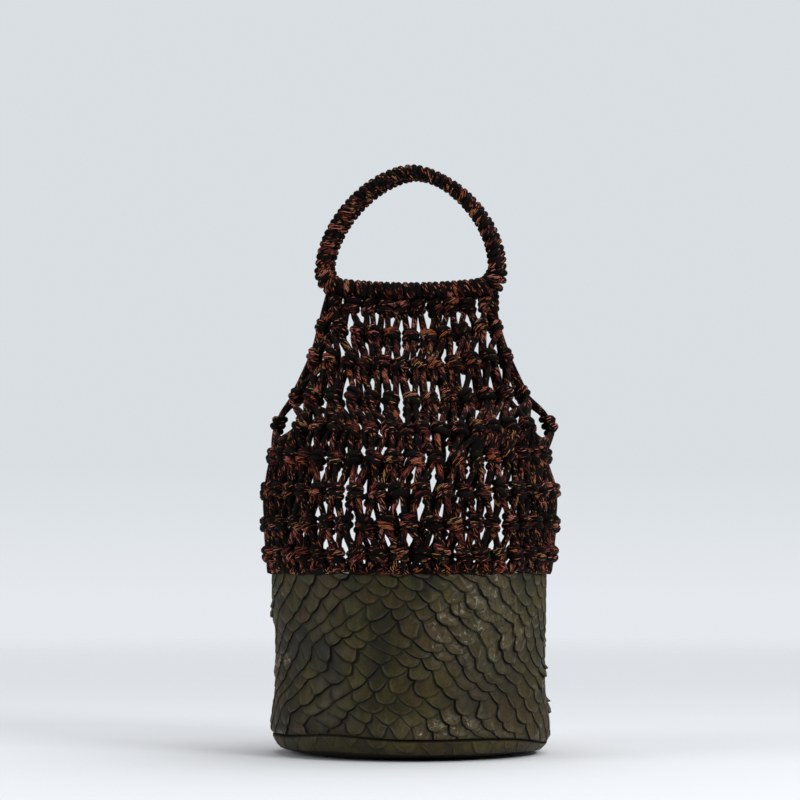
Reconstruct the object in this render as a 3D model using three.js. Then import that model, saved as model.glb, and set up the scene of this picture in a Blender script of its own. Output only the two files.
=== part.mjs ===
// Bucket bag: a scaly leather bucket, a knotted net above it and two cord-wrapped D handles.
// Millimetres, +Z up. The front faces -Y and the origin is under the middle of the base.
import * as THREE from 'three';

// Clearance between pieces that touch
const GAP = 0.3;

// Leather bucket
const LEATHER_THICKNESS = 2.0;
const SEAM_Z = 11.5;
const WALL_TOP_Z = 127;
const WALL_SIDES = 48;
const BASE_SIDES = 48;

// Net: cord, knots and the thin ties between neighbouring knots
const CORD_DIAMETER = 4.7;
const KNOT_REACH = 4.6;
const KNOT_HALF_HEIGHT = 4.3;
const TIE_REACH = 1.9;
const TIE_HALF_HEIGHT = 1.5;
const HEADING_HALF_HEIGHT = 2.3;
const HEADING_REACH = 2.9;
const HEADING_RADIUS = 97.3;
const RING_KNOTS = 30;

// A panel is bowed through this angle and its knots stop short of its ends by this share
const PANEL_SWEEP = 1.2;
const PANEL_SPAN = 0.94 * Math.PI;

// Handles: a level bar, two bent corners and an arch
const BAR_Z = 329;
const BAR_SAG = 2.2;
const BAR_RADIUS = 7.0;
const ARCH_RADIUS = 5.6;
const ARCH_HALF_WIDTH = 62.5;
const ARCH_HEIGHT = 65.4;
const ARCH_POWER = 1.7;
const CORNER_WIDTH = 10;
const CORNER_HEIGHT = 19.5;
const HANDLE_RIDGES = 56;
const HANDLE_SIDES = 8;
const RIDGE_DEPTH = 0.7;
const BACK_HANDLE_SHIFT = 3;

// Shallow dents that run down the wall: how many round the bag and how deep
const WALL_DENTS = [
  { count: 3, depth: 0.35, turn: 0.6 },
  { count: 7, depth: 0.25, turn: 0 },
];

// Outer radius of the leather wall, from the seam up
const WALL_PROFILE = [
  { z: SEAM_Z, radius: 98.8 },
  { z: 18, radius: 99.4 },
  { z: 35, radius: 97.6 },
  { z: 51, radius: 95.5 },
  { z: 78, radius: 95.3 },
  { z: 98, radius: 97.0 },
  { z: WALL_TOP_Z, radius: 98.3 },
];

// Outside of the base, from the flat it stands on to the seam
const BASE_PROFILE = [
  { z: 0, radius: 86 },
  { z: 1.6, radius: 92 },
  { z: 5.6, radius: 96.2 },
  { z: SEAM_Z - GAP, radius: 98.2 },
];

// Rows of knots, from the handles down. Height is at the bag's sides, drop is how much lower the row
// hangs at the middle of the front and back, edge is how far a panel's end stands from the mid plane.
const TOP_ROW_Z = BAR_Z - BAR_RADIUS - GAP - KNOT_HALF_HEIGHT + 1.5;
const PANEL_ROWS = [
  { height: TOP_ROW_Z, drop: 1.8, half_width: 54, depth: 8, edge: 7.5, knots: 9 },
  { height: 303, drop: 8.9, half_width: 62.5, depth: 26, edge: 13, knots: 10 },
  { height: 281, drop: 9.2, half_width: 70, depth: 44, edge: 18, knots: 11 },
  { height: 254.5, drop: 8, half_width: 83.5, depth: 62, edge: 16, knots: 12 },
];
const RING_ROWS = [
  { height: 233.5, drop: 9.4, half_width: 95.7, depth: 81, knots: RING_KNOTS },
  { height: 210.5, drop: 7, half_width: 97.2, depth: 94, knots: RING_KNOTS },
  { height: 185, drop: 2.9, half_width: 102.6, depth: 102, knots: RING_KNOTS },
  { height: 162.4, drop: 1.3, half_width: 102.7, depth: 102.7, knots: RING_KNOTS },
  { height: 140.8, drop: 1.2, half_width: 101.2, depth: 101.2, knots: RING_KNOTS },
];
const HEADING_ROW = {
  height: WALL_TOP_Z + GAP + HEADING_HALF_HEIGHT,
  drop: 0,
  half_width: HEADING_RADIUS,
  depth: HEADING_RADIUS,
  knots: RING_KNOTS,
};
const NET_ROWS = [...PANEL_ROWS, ...RING_ROWS, HEADING_ROW];

// How far a hand-tied knot strays from its even place, and how the stray varies along a row
const KNOT_PLAY = 1.1;
const STRAY_WAVE = 7.3;
const SLIDE_WAVE = 5.1;
const ROW_WAVE = 2.9;

// Sections of the bars: reach in front, height, and depth behind as a share of half a cord
const KNOT = { reach: KNOT_REACH, half_height: KNOT_HALF_HEIGHT, depth: 1 };
const TIE = { reach: TIE_REACH, half_height: TIE_HALF_HEIGHT, depth: 0.5 };
const HEADING = { reach: HEADING_REACH, half_height: HEADING_HALF_HEIGHT, depth: 1 };
const SECTION_CORNERS = 5;
const TOP_SIDE = 4;
const UNDER_SIDE = 2;

const CORD_MATERIAL = { color: 0x2a1c16, roughness: 0.85, metalness: 0 };
const LEATHER_MATERIAL = { color: 0x3a3626, roughness: 0.45, metalness: 0 };

function closedGeometry(points, triangles) {
  const geometry = new THREE.BufferGeometry();
  geometry.setAttribute('position', new THREE.Float32BufferAttribute(points, 3));
  geometry.setIndex(triangles);
  geometry.computeVertexNormals();
  return geometry;
}

// Skin over a loop of equal rings of points, each ring turning the same way
function loftLoop(rings) {
  const points = rings.flat().flatMap((point) => point.toArray());
  const triangles = [];
  const ringSize = rings[0].length;
  for (let ring = 0; ring < rings.length; ring += 1) {
    const here = ring * ringSize;
    const next = ((ring + 1) % rings.length) * ringSize;
    for (let side = 0; side < ringSize; side += 1) {
      const after = (side + 1) % ringSize;
      triangles.push(here + side, next + side, next + after);
      triangles.push(here + side, next + after, here + after);
    }
  }
  return closedGeometry(points, triangles);
}

// The wall's section goes up its outside and down its inside, and is carried round the bag
function leatherWall() {
  const outside = WALL_PROFILE.map(({ z, radius }) => new THREE.Vector2(radius, z));
  const inside = WALL_PROFILE.map(({ z, radius }) => new THREE.Vector2(radius - LEATHER_THICKNESS, z));
  const section = [...outside, ...inside.reverse()];
  const rings = [];
  for (let side = 0; side < WALL_SIDES; side += 1) {
    const angle = (2 * Math.PI * side) / WALL_SIDES;
    const dent = WALL_DENTS.reduce(
      (sum, { count, depth, turn }) => sum + depth * Math.sin(count * angle + turn),
      0,
    );
    rings.push(section.map(({ x, y }) => {
      const middle = Math.sin((Math.PI * (y - SEAM_Z)) / (WALL_TOP_Z - SEAM_Z));
      const radius = x + dent * middle;
      return new THREE.Vector3(radius * Math.cos(angle), radius * Math.sin(angle), y);
    }));
  }
  return loftLoop(rings);
}

// A dish: flat underneath, with its rim turned up to the seam
function leatherBase() {
  const outside = BASE_PROFILE.map(({ z, radius }) => new THREE.Vector2(radius, z));
  const [flat, , bend, rim] = BASE_PROFILE;
  const inside = [
    new THREE.Vector2(rim.radius - LEATHER_THICKNESS, rim.z),
    new THREE.Vector2(bend.radius - LEATHER_THICKNESS, bend.z + LEATHER_THICKNESS / 2),
    new THREE.Vector2(flat.radius, LEATHER_THICKNESS),
  ];
  const profile = [
    new THREE.Vector2(0, 0),
    ...outside,
    ...inside,
    new THREE.Vector2(0, LEATHER_THICKNESS),
  ];
  return new THREE.LatheGeometry(profile, BASE_SIDES).rotateX(Math.PI / 2);
}

// Place on a row at an angle round the bag: 0 is the middle of the front and a quarter turn is +X
function rowPoint(row, angle) {
  const cosine = Math.cos(angle);
  const z = row.height - row.drop * cosine * cosine;
  if (row.edge === undefined) {
    return new THREE.Vector3(row.half_width * Math.sin(angle), -row.depth * cosine, z);
  }
  const front = cosine >= 0 ? 1 : -1;
  const along = Math.asin(Math.sin(angle)) / (Math.PI / 2);
  const x = (row.half_width * Math.sin(along * PANEL_SWEEP)) / Math.sin(PANEL_SWEEP);
  const y = -front * (row.edge + (row.depth - row.edge) * Math.abs(cosine));
  return new THREE.Vector3(x, y, z);
}

// Along the row, up the net, and straight out of it
function rowFrame(rowIndex, angle) {
  const step = 0.02;
  const row = NET_ROWS[rowIndex];
  const above = NET_ROWS[Math.max(rowIndex - 1, 0)];
  const below = NET_ROWS[Math.min(rowIndex + 1, NET_ROWS.length - 1)];
  const along = rowPoint(row, angle + step).sub(rowPoint(row, angle - step)).normalize();
  const slope = rowPoint(above, angle).sub(rowPoint(below, angle)).normalize();
  const level = rowIndex === 0 || row === HEADING_ROW;
  const up = level ? new THREE.Vector3(0, 0, 1) : slope;
  const out = along.clone().cross(up).normalize();
  return { along, up: out.clone().cross(along).normalize(), out };
}

// A five-sided section of a bar of knots: top, front point, bottom and a flat back
function barSection(rowIndex, angle, shift, stray, size) {
  const { along, up, out } = rowFrame(rowIndex, angle);
  const centre = rowPoint(NET_ROWS[rowIndex], angle)
    .addScaledVector(along, shift)
    .addScaledVector(up, stray);
  const half = CORD_DIAMETER / 2;
  const corner = (outward, upward) => (
    centre.clone().addScaledVector(out, outward).addScaledVector(up, upward)
  );
  return [
    corner(half * size.depth, size.half_height),
    corner(size.reach, 0),
    corner(half * size.depth, -size.half_height),
    corner(-half * size.depth, -size.half_height),
    corner(-half * size.depth, size.half_height),
  ];
}

class Net {
  constructor() {
    this.points = [];
    this.triangles = [];
  }

  quad(a, b, c, d) {
    this.triangles.push(a, b, c, a, c, d);
  }

  section(corners) {
    const first = this.points.length / 3;
    corners.forEach((corner) => this.points.push(...corner.toArray()));
    return corners.map((corner, index) => first + index);
  }

  // A bar is a chain of sections; each knot is the stretch between its left and right section
  addBar(rowIndex, angles, loop, knot, tie) {
    const pitch = angles[1] - angles[0];
    const bar = { sections: [], knots: [], loop, taken: { top: new Set(), bottom: new Set() } };
    const half = CORD_DIAMETER / 2;
    if (tie && !loop) {
      bar.sections.push(this.section(barSection(rowIndex, angles[0] - pitch / 3, 0, 0, tie)));
    }
    angles.forEach((angle, index) => {
      const play = tie && rowIndex > 0 ? KNOT_PLAY : 0;
      const stray = play * Math.sin(STRAY_WAVE * index + ROW_WAVE * rowIndex);
      const slide = play * Math.sin(SLIDE_WAVE * index + ROW_WAVE * rowIndex);
      bar.knots.push(bar.sections.length);
      bar.sections.push(this.section(barSection(rowIndex, angle, slide - half, stray, knot)));
      bar.sections.push(this.section(barSection(rowIndex, angle, slide + half, stray, knot)));
      if (tie) {
        const last = !loop && index === angles.length - 1;
        const tieAngle = angle + (last ? pitch / 3 : pitch / 2);
        bar.sections.push(this.section(barSection(rowIndex, tieAngle, 0, 0, tie)));
      }
    });
    return bar;
  }

  // A four-sided strand from the underside of one knot to the top of a knot in the next row
  addStrand(upper, upperKnot, lower, lowerKnot) {
    const from = upper.knots[upperKnot];
    const to = lower.knots[lowerKnot];
    upper.taken.bottom.add(from);
    lower.taken.top.add(to);
    const topLeft = upper.sections[from];
    const topRight = upper.sections[from + 1];
    const lowLeft = lower.sections[to];
    const lowRight = lower.sections[to + 1];
    this.quad(lowLeft[0], lowRight[0], topRight[2], topLeft[2]);
    this.quad(lowRight[4], lowLeft[4], topLeft[3], topRight[3]);
    this.quad(lowLeft[4], lowLeft[0], topLeft[2], topLeft[3]);
    this.quad(lowRight[0], lowRight[4], topRight[3], topRight[2]);
  }

  // Faces of a bar, left open where a strand enters or leaves
  closeBar(bar) {
    const count = bar.sections.length;
    const spans = bar.loop ? count : count - 1;
    for (let span = 0; span < spans; span += 1) {
      const here = bar.sections[span];
      const next = bar.sections[(span + 1) % count];
      for (let side = 0; side < SECTION_CORNERS; side += 1) {
        const strandAbove = side === TOP_SIDE && bar.taken.top.has(span);
        const strandBelow = side === UNDER_SIDE && bar.taken.bottom.has(span);
        const after = (side + 1) % SECTION_CORNERS;
        if (!strandAbove && !strandBelow) {
          this.quad(here[after], next[after], next[side], here[side]);
        }
      }
    }
    if (!bar.loop) {
      const first = bar.sections[0];
      const last = bar.sections[count - 1];
      this.triangles.push(first[4], first[3], first[2], first[4], first[2], first[1]);
      this.triangles.push(first[4], first[1], first[0]);
      this.triangles.push(last[0], last[1], last[2], last[0], last[2], last[3]);
      this.triangles.push(last[0], last[3], last[4]);
    }
  }
}

// Even places along a panel, from its left end to its right end as seen from outside
function panelAngles(row, middle) {
  const angles = [];
  for (let index = 0; index < row.knots; index += 1) {
    angles.push(middle + PANEL_SPAN * ((index + 0.5) / row.knots - 0.5));
  }
  return angles;
}

// Rings alternate by half a pitch, so the strands between them lean left and right in turn
function ringAngles(row, index) {
  const pitch = (2 * Math.PI) / row.knots;
  const first = -Math.PI / 2 + pitch / 2 + (index % 2 ? pitch / 4 : -pitch / 4);
  return Array.from({ length: row.knots }, (unused, knot) => first + pitch * knot);
}

// Strands run between two rows' knots in the same order, one for each knot of the shorter row.
// A panel ties to a stretch of the first ring that starts at lowerStart.
function tieRows(net, upper, lower, lowerStart = 0, lowerCount = lower.knots.length) {
  const upperCount = upper.knots.length;
  const strands = Math.min(upperCount, lowerCount);
  for (let strand = 0; strand < strands; strand += 1) {
    const upperKnot = Math.floor(((strand + 0.5) * upperCount) / strands);
    const lowerKnot = Math.floor(((strand + 0.5) * lowerCount) / strands);
    net.addStrand(upper, upperKnot, lower, lowerStart + lowerKnot);
  }
}

function macrameNet() {
  const net = new Net();
  const rings = RING_ROWS.map((row, index) => (
    net.addBar(PANEL_ROWS.length + index, ringAngles(row, index), true, KNOT, TIE)
  ));
  const last = RING_ROWS.length - 1;
  const headingAngles = ringAngles(HEADING_ROW, last);
  const heading = net.addBar(NET_ROWS.length - 1, headingAngles, true, HEADING, null);
  const bars = [...rings, heading];
  [0, Math.PI].forEach((middle, panel) => {
    const panelBars = PANEL_ROWS.map((row, index) => (
      net.addBar(index, panelAngles(row, middle), false, KNOT, TIE)
    ));
    for (let index = 1; index < panelBars.length; index += 1) {
      tieRows(net, panelBars[index - 1], panelBars[index]);
    }
    const lowest = panelBars[panelBars.length - 1];
    const half = RING_KNOTS / 2;
    tieRows(net, lowest, rings[0], panel * half, half);
    bars.push(...panelBars);
  });
  for (let index = 1; index < rings.length; index += 1) {
    tieRows(net, rings[index - 1], rings[index]);
  }
  tieRows(net, rings[last], heading);
  bars.forEach((bar) => net.closeBar(bar));
  return closedGeometry(net.points, net.triangles);
}

// Centre line of a wrapped ring in its own plane: bar, corner, arch, corner
function handleCurve() {
  const wideZ = BAR_Z + CORNER_HEIGHT;
  const barHalf = ARCH_HALF_WIDTH - CORNER_WIDTH;
  const points = [];
  const barSteps = 8;
  for (let step = 0; step < barSteps; step += 1) {
    const x = barHalf * ((2 * step) / barSteps - 1);
    points.push(new THREE.Vector3(x, 0, BAR_Z + BAR_SAG * (x / barHalf) ** 2));
  }
  const cornerSteps = 4;
  const corner = (angle) => [
    barHalf + CORNER_WIDTH * Math.sin(angle),
    wideZ - (CORNER_HEIGHT - BAR_SAG) * Math.cos(angle),
  ];
  for (let step = 0; step < cornerSteps; step += 1) {
    const [x, z] = corner((Math.PI / 2) * (step / cornerSteps));
    points.push(new THREE.Vector3(x, 0, z));
  }
  const archSteps = 24;
  for (let step = 0; step <= archSteps; step += 1) {
    const angle = (Math.PI * step) / archSteps;
    const cosine = Math.cos(angle);
    const x = ARCH_HALF_WIDTH * Math.sign(cosine) * Math.abs(cosine) ** (2 / ARCH_POWER);
    const z = wideZ + ARCH_HEIGHT * Math.abs(Math.sin(angle)) ** (2 / ARCH_POWER);
    points.push(new THREE.Vector3(x, 0, z));
  }
  for (let step = cornerSteps - 1; step > 0; step -= 1) {
    const [x, z] = corner((Math.PI / 2) * (step / cornerSteps));
    points.push(new THREE.Vector3(-x, 0, z));
  }
  return new THREE.CatmullRomCurve3(points, true, 'centripetal');
}

// The winding is thicker on the bar, and the two rings lie side by side on the mid plane
function wrappedHandle(side, shift) {
  const curve = handleCurve();
  const steps = HANDLE_RIDGES * 2;
  const rings = [];
  for (let step = 0; step < steps; step += 1) {
    const centre = curve.getPointAt(step / steps);
    const tangent = curve.getTangentAt(step / steps);
    const inward = new THREE.Vector3(0, 1, 0).cross(tangent).normalize();
    const rise = THREE.MathUtils.smoothstep(centre.z, BAR_Z + BAR_SAG, BAR_Z + CORNER_HEIGHT);
    const radius = THREE.MathUtils.lerp(BAR_RADIUS, ARCH_RADIUS, rise);
    const ridge = step % 2 ? radius : radius - RIDGE_DEPTH;
    const axis = centre.clone().add(new THREE.Vector3(shift, side * (radius + GAP / 2), 0));
    const ring = [];
    for (let corner = 0; corner < HANDLE_SIDES; corner += 1) {
      const angle = (-2 * Math.PI * corner) / HANDLE_SIDES;
      ring.push(axis.clone()
        .addScaledVector(inward, ridge * Math.cos(angle))
        .add(new THREE.Vector3(0, ridge * Math.sin(angle), 0)));
    }
    rings.push(ring);
  }
  return loftLoop(rings);
}

function piece(name, geometry, material) {
  const mesh = new THREE.Mesh(geometry, new THREE.MeshStandardMaterial(material));
  mesh.name = name;
  return mesh;
}

const bag = new THREE.Group();
bag.add(
  piece('leather_base', leatherBase(), LEATHER_MATERIAL),
  piece('leather_wall', leatherWall(), LEATHER_MATERIAL),
  piece('macrame_net', macrameNet(), CORD_MATERIAL),
  piece('handle_front', wrappedHandle(-1, 0), CORD_MATERIAL),
  piece('handle_back', wrappedHandle(1, BACK_HANDLE_SHIFT), CORD_MATERIAL),
);

export default bag;
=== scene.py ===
import math
import random

import bmesh
import bpy
import numpy as np
from mathutils import Matrix, Vector


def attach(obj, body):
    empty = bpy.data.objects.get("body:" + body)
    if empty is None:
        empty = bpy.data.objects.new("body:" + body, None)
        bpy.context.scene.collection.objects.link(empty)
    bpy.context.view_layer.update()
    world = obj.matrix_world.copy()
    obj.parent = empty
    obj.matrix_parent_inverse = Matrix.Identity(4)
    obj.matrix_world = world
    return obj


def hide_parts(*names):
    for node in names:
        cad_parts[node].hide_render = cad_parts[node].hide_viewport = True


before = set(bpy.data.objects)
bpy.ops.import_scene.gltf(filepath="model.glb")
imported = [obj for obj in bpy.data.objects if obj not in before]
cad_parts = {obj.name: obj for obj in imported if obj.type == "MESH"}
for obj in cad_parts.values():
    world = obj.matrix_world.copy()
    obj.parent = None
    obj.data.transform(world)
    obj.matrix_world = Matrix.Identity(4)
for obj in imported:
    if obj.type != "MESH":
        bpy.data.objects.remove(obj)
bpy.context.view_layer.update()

# Leather wall.
# One strip of large-scaled fish leather, waisted and sewn into a tube. The scales overlap downwards
# like roof tiles, with creases round their free edges darkened by painted shade, and curled, glossy
# lips here and there paled by painted highlights and sheen.

SEAM_Z = 0.0148
SEAM_GAP = 0.0002
SEAM_UNEVENNESS = 0.0004
# Height, middle and width in degrees of each swell of the seam
SEAM_SWELLS = [(0.0036, -33, 20), (0.0022, 160, 30), (-0.0058, 78, 22), (-0.0015, -120, 25)]
WALL_TOP_Z = 0.127
WALL_THICKNESS = 0.0019
WALL_COLUMNS = 736
WALL_ROWS = 128
INNER_ROWS = 3
CLOSING_ROW = WALL_ROWS + INNER_ROWS + 1
WALL_PROFILE = [
    (0.0148, 0.0982),
    (0.020, 0.0991),
    (0.027, 0.0986),
    (0.035, 0.0973),
    (0.051, 0.0953),
    (0.078, 0.0951),
    (0.098, 0.0966),
    (0.127, 0.0979),
]
PROFILE_SMOOTHING = 0.005
SCALES_ROUND = 34
SCALE_ROW = 0.0080
COLUMN_WOBBLE = 0.16
COLUMN_DRIFT = 0.35
ROW_WOBBLE = 0.30
ROW_TILT = 1.7
ROW_TILT_START = 0.4
LEAN_AT_SIDES = 0.75
LEAN_MORE_IN_FRONT = 0.25
LEAN_START = 0.25
SCALE_LIFT = 0.0013
LIFT_CHANGE = 0.35
SCALE_FLARE = 0.0022
FLARE_CHANGE = 0.5
SCALE_BULGE = 0.24
BULGE_BASE = 0.62
BULGE_LEAN = 0.38
BULGE_SKEW = 0.8
BULGE_CHANGE = 0.35
ROW_KEY = 2.39
COLUMN_KEY = 4.17
ARM_BASE = 0.55
ARM_LEAN = 0.5
ARM_LEAST = 0.05
EDGE_ROUNDING = 0.12
EDGE_SOFTENING = 0.5
CREASE_WIDTH = 0.06
CREASE_DEPTH = 0.0007
# Strength of each curled patch, its middle and width in degrees, and its middle and extent in height
CURLED_PATCHES = [(1.3, 31, 23, 0.094, 0.028), (1.2, 15, 24, 0.0220, 0.008)]
FRONT_HALF_ANGLE = 60
CURL_ELSEWHERE = 1.6
CURL_ELSEWHERE_FLOOR = 0.5
CURL_BASE = 0.55
CURL_AT_TIP = 0.75
LIFT_BASE = 0.8
LIFT_OF_CURL = 0.4
WRINKLE_DEPTH = 0.0004
FINE_WRINKLE_SHARE = 0.7
DENT_DEPTH = 0.0007
HEM_HEIGHT = 0.024
HEM_ROLL = 0.0028
HEM_TUCK = 0.0016
TOP_ROLL = 0.0012
TOP_WANDER = 0.0007
TOP_WANDER_FROM = 0.12
INNER_TOP_DROP = 0.0008
INNER_SHORTER = 0.002
INSIDE_FADED = 0.8
NOISE_MOST_UP = 5
NOISE_PHASE = 6.28
NOISE_CLIP = 1.6


def smooth_noise(u, v, seed, lobes=9, most=9):
    """Soft seamless noise from -1 to 1 over the turn u and the height v, both in waves."""
    draw = random.Random(seed)
    total = np.zeros_like(u)
    for _ in range(lobes):
        around = draw.choice((-1, 1)) * draw.randint(1, most)
        up = draw.uniform(-NOISE_MOST_UP, NOISE_MOST_UP)
        phase = draw.uniform(0, NOISE_PHASE)
        total += math.sqrt(2 / lobes) * np.sin(2 * np.pi * (around * u + up * v) + phase)
    return np.clip(total / NOISE_CLIP, -1, 1)


def scale_lattice(turn, height):
    """Two slanting coordinates whose whole numbers bound the scales, and which way the scales lean."""
    wave = 2 * np.pi * turn
    u = turn * SCALES_ROUND + COLUMN_WOBBLE * smooth_noise(turn, height / 0.10, seed=3)
    u = u + COLUMN_DRIFT * smooth_noise(turn, height / 0.2, seed=8, lobes=6, most=4)
    v = height / SCALE_ROW + ROW_WOBBLE * smooth_noise(turn, height / 0.10, seed=5)
    v = v + ROW_TILT * np.sin(wave - ROW_TILT_START)
    lean = (LEAN_AT_SIDES + LEAN_MORE_IN_FRONT * np.cos(wave)) * np.sin(wave + LEAN_START)
    return u + v / 2, v / 2 - u, lean


def scale_change(first, second):
    """A number between -1 and 1 that differs from scale to scale."""
    return np.sin(ROW_KEY * (first + second) + COLUMN_KEY * np.mod(first - second, 2 * SCALES_ROUND))


def scale_field(turn, height):
    """How far each point of the skin stands out, how deep its crease is, how far its scale flares
    where it curls, and how near it is to a free tip."""
    rising_right, rising_left, lean = scale_lattice(turn, height)
    first = np.floor(rising_right)
    second = np.floor(rising_left)
    a = rising_right - first
    b = rising_left - second
    bulge = SCALE_BULGE * (BULGE_BASE + BULGE_LEAN * lean)
    bulge_a = bulge * np.sin(np.pi * a ** BULGE_SKEW)
    bulge_b = bulge * np.sin(np.pi * b ** BULGE_SKEW)
    to_left_scale = 1 - b - bulge_a * (1 + BULGE_CHANGE * scale_change(first, second + 1))
    to_right_scale = 1 - a - bulge_b * (1 + BULGE_CHANGE * scale_change(first + 1, second))
    under_left = to_left_scale < 0
    under_right = (to_right_scale < 0) & ~under_left
    change = scale_change(first + under_right, second + under_left)
    right_arm = np.clip(ARM_BASE - ARM_LEAN * lean, ARM_LEAST, 1)
    left_arm = np.clip(ARM_BASE + ARM_LEAN * lean, ARM_LEAST, 1)
    right_depth = np.where(under_left, -to_left_scale, b + bulge_a)
    left_depth = np.where(under_right, -to_right_scale, a + bulge_b)
    right_edge = np.clip(right_depth / (EDGE_ROUNDING + EDGE_SOFTENING * (1 - right_arm)), 0, 1)
    left_edge = np.clip(left_depth / (EDGE_ROUNDING + EDGE_SOFTENING * (1 - left_arm)), 0, 1)
    rounding = np.sqrt(1 - (1 - np.minimum(right_edge, left_edge)) ** 2)
    rise = np.clip(1 - 0.5 * (a - under_right + b - under_left), 0, 1)
    lift = SCALE_LIFT * rise * (1 + LIFT_CHANGE * change) * rounding
    flare = SCALE_FLARE * rise ** 3 * (1 + FLARE_CHANGE * change) * rounding
    crease = right_arm * np.exp(-np.abs(to_left_scale) / CREASE_WIDTH)
    crease = np.maximum(crease, left_arm * np.exp(-np.abs(to_right_scale) / CREASE_WIDTH))
    return lift, crease, flare, rise * (1 + change) / 2


def front_degrees(turn):
    """Degrees round the bag from the middle of its front, up to 180 to the right."""
    return (turn * 360 + 180) % 360 - 180


def seam_rise(turn):
    """How far the seam wanders up and down round the bag, as hand stitching does."""
    rise = 0 * turn
    for swell, middle, width in SEAM_SWELLS:
        rise = rise + swell * np.exp(-((front_degrees(turn) - middle) / width) ** 2)
    return rise + SEAM_UNEVENNESS * smooth_noise(turn, 0 * turn, seed=17)


def wall_radius(z):
    """The wall's outer radius at a height, with the corners of its profile smoothed."""
    heights, radii = zip(*WALL_PROFILE)
    steps = (-PROFILE_SMOOTHING, 0, PROFILE_SMOOTHING)
    below, here, above = (np.interp(z + step, heights, radii) for step in steps)
    return (below + here + above) / 3


def mesh_points(mesh):
    """A mesh's points, one row of x, y and z for each."""
    numbers = np.empty(len(mesh.vertices) * 3)
    mesh.vertices.foreach_get("co", numbers)
    return numbers.reshape(-1, 3)


def mesh_corners(mesh):
    """The point that each corner of each face sits on."""
    corners = np.empty(len(mesh.loops), dtype=np.int32)
    mesh.loops.foreach_get("vertex_index", corners)
    return corners


def set_scale_fields(mesh, lattice, **fields):
    """Stores the lattice at each face corner and every other field at each point, for the material."""
    for label, values in fields.items():
        mesh.attributes.new(label, "FLOAT", "POINT").data.foreach_set("value", values.astype(np.float32))
    lattice_data = mesh.attributes.new("lattice", "FLOAT_VECTOR", "CORNER").data
    lattice_data.foreach_set("vector", lattice.ravel().astype(np.float32))


def add_object(name, data):
    made = bpy.data.objects.new(name, data)
    bpy.context.collection.objects.link(made)
    return made


wall_mesh = bpy.data.meshes.new("leather_wall_skin")
wall_bm = bmesh.new()
bmesh.ops.create_grid(wall_bm, x_segments=WALL_COLUMNS, y_segments=CLOSING_ROW, size=1)
wall_bm.to_mesh(wall_mesh)
wall_bm.free()
grid = mesh_points(wall_mesh)
turn = (grid[:, 0] + 1) / 2
strip_row = np.rint((grid[:, 1] + 1) / 2 * CLOSING_ROW).astype(int)
share = np.clip(strip_row / WALL_ROWS, 0, 1)
height = SEAM_Z + SEAM_GAP + (WALL_TOP_Z - SEAM_Z - SEAM_GAP) * share
lift, crease, flare, tip = scale_field(turn, height)
lattice = np.stack(scale_lattice(turn, height), axis=1)
degrees = front_degrees(turn)
curl = 0 * turn
for amount, middle, width, level, tall in CURLED_PATCHES:
    curl = curl + amount * np.exp(-((degrees - middle) / width) ** 2 - ((height - level) / tall) ** 2)
elsewhere = CURL_ELSEWHERE * smooth_noise(turn, height / 0.1, seed=21) - CURL_ELSEWHERE_FLOOR
curl = np.clip(curl + np.clip(elsewhere, 0, 1) * (np.abs(degrees) > FRONT_HALF_ANGLE), 0, 1)
flare = flare * curl
curl = curl * (CURL_BASE + CURL_AT_TIP * tip)
wrinkle = smooth_noise(turn * 13, height / 0.022, seed=11, lobes=14)
wrinkle = wrinkle + FINE_WRINKLE_SHARE * smooth_noise(turn * 23, height / 0.012, seed=12, lobes=14)
lift = lift * (LIFT_BASE + LIFT_OF_CURL * curl) + flare
lift = lift + WRINKLE_DEPTH * wrinkle * curl - CREASE_DEPTH * crease
hang = np.clip(1 - (height - SEAM_Z) / HEM_HEIGHT, 0, 1)
rolled = np.clip((height - SEAM_Z) / HEM_ROLL, 0, 1)
rim = np.clip((WALL_TOP_Z - height) / TOP_ROLL, 0, 1)
radius = wall_radius(height) + lift * rolled * rim - HEM_TUCK * (1 - np.sqrt(rolled * (2 - rolled)))
radius = radius + DENT_DEPTH * smooth_noise(turn, height / 0.25, seed=31)
top_wander = TOP_WANDER * smooth_noise(turn * 3, 0 * turn, seed=19) * (1 - hang) * (height > TOP_WANDER_FROM)
height = height + seam_rise(turn) * hang + top_wander

# The last rows are the tube's smooth inside, and the very last one closes it against the first
inner = strip_row > WALL_ROWS
inner_share = np.clip((strip_row - WALL_ROWS - 1) / (INNER_ROWS - 1), 0, 1)
inner_height = WALL_TOP_Z - INNER_TOP_DROP - (WALL_TOP_Z - SEAM_Z - INNER_SHORTER) * inner_share
radius = np.where(inner, wall_radius(inner_height) - WALL_THICKNESS, radius)
height = np.where(inner, inner_height, height)
radius[strip_row == CLOSING_ROW] = radius[strip_row == 0]
height[strip_row == CLOSING_ROW] = height[strip_row == 0]
angle = 2 * np.pi * turn
placed = np.stack([radius * np.sin(angle), -radius * np.cos(angle), height], axis=1)
wall_mesh.vertices.foreach_set("co", placed.ravel())
wall_lattice = lattice[mesh_corners(wall_mesh)]
shown = 1.0 - INSIDE_FADED * inner
set_scale_fields(wall_mesh, wall_lattice, curl=curl * ~inner, shown=shown, seam=0.0 * turn)
wall_bm = bmesh.new()
wall_bm.from_mesh(wall_mesh)
bmesh.ops.remove_doubles(wall_bm, verts=wall_bm.verts, dist=1e-6)
bmesh.ops.recalc_face_normals(wall_bm, faces=wall_bm.faces)
wall_bm.to_mesh(wall_mesh)
wall_bm.free()
wall_mesh.shade_smooth()
leather_wall = add_object("leather_wall_skin", wall_mesh)


def node(tree, kind, **inputs):
    """A shader node with its properties and input values set by name."""
    made = tree.nodes.new(kind)
    for key, value in inputs.items():
        if key in made.inputs:
            made.inputs[key].default_value = value
        else:
            setattr(made, key, value)
    return made


def attribute_value(tree, label):
    return node(tree, "ShaderNodeAttribute", attribute_name=label).outputs["Fac"]


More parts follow.
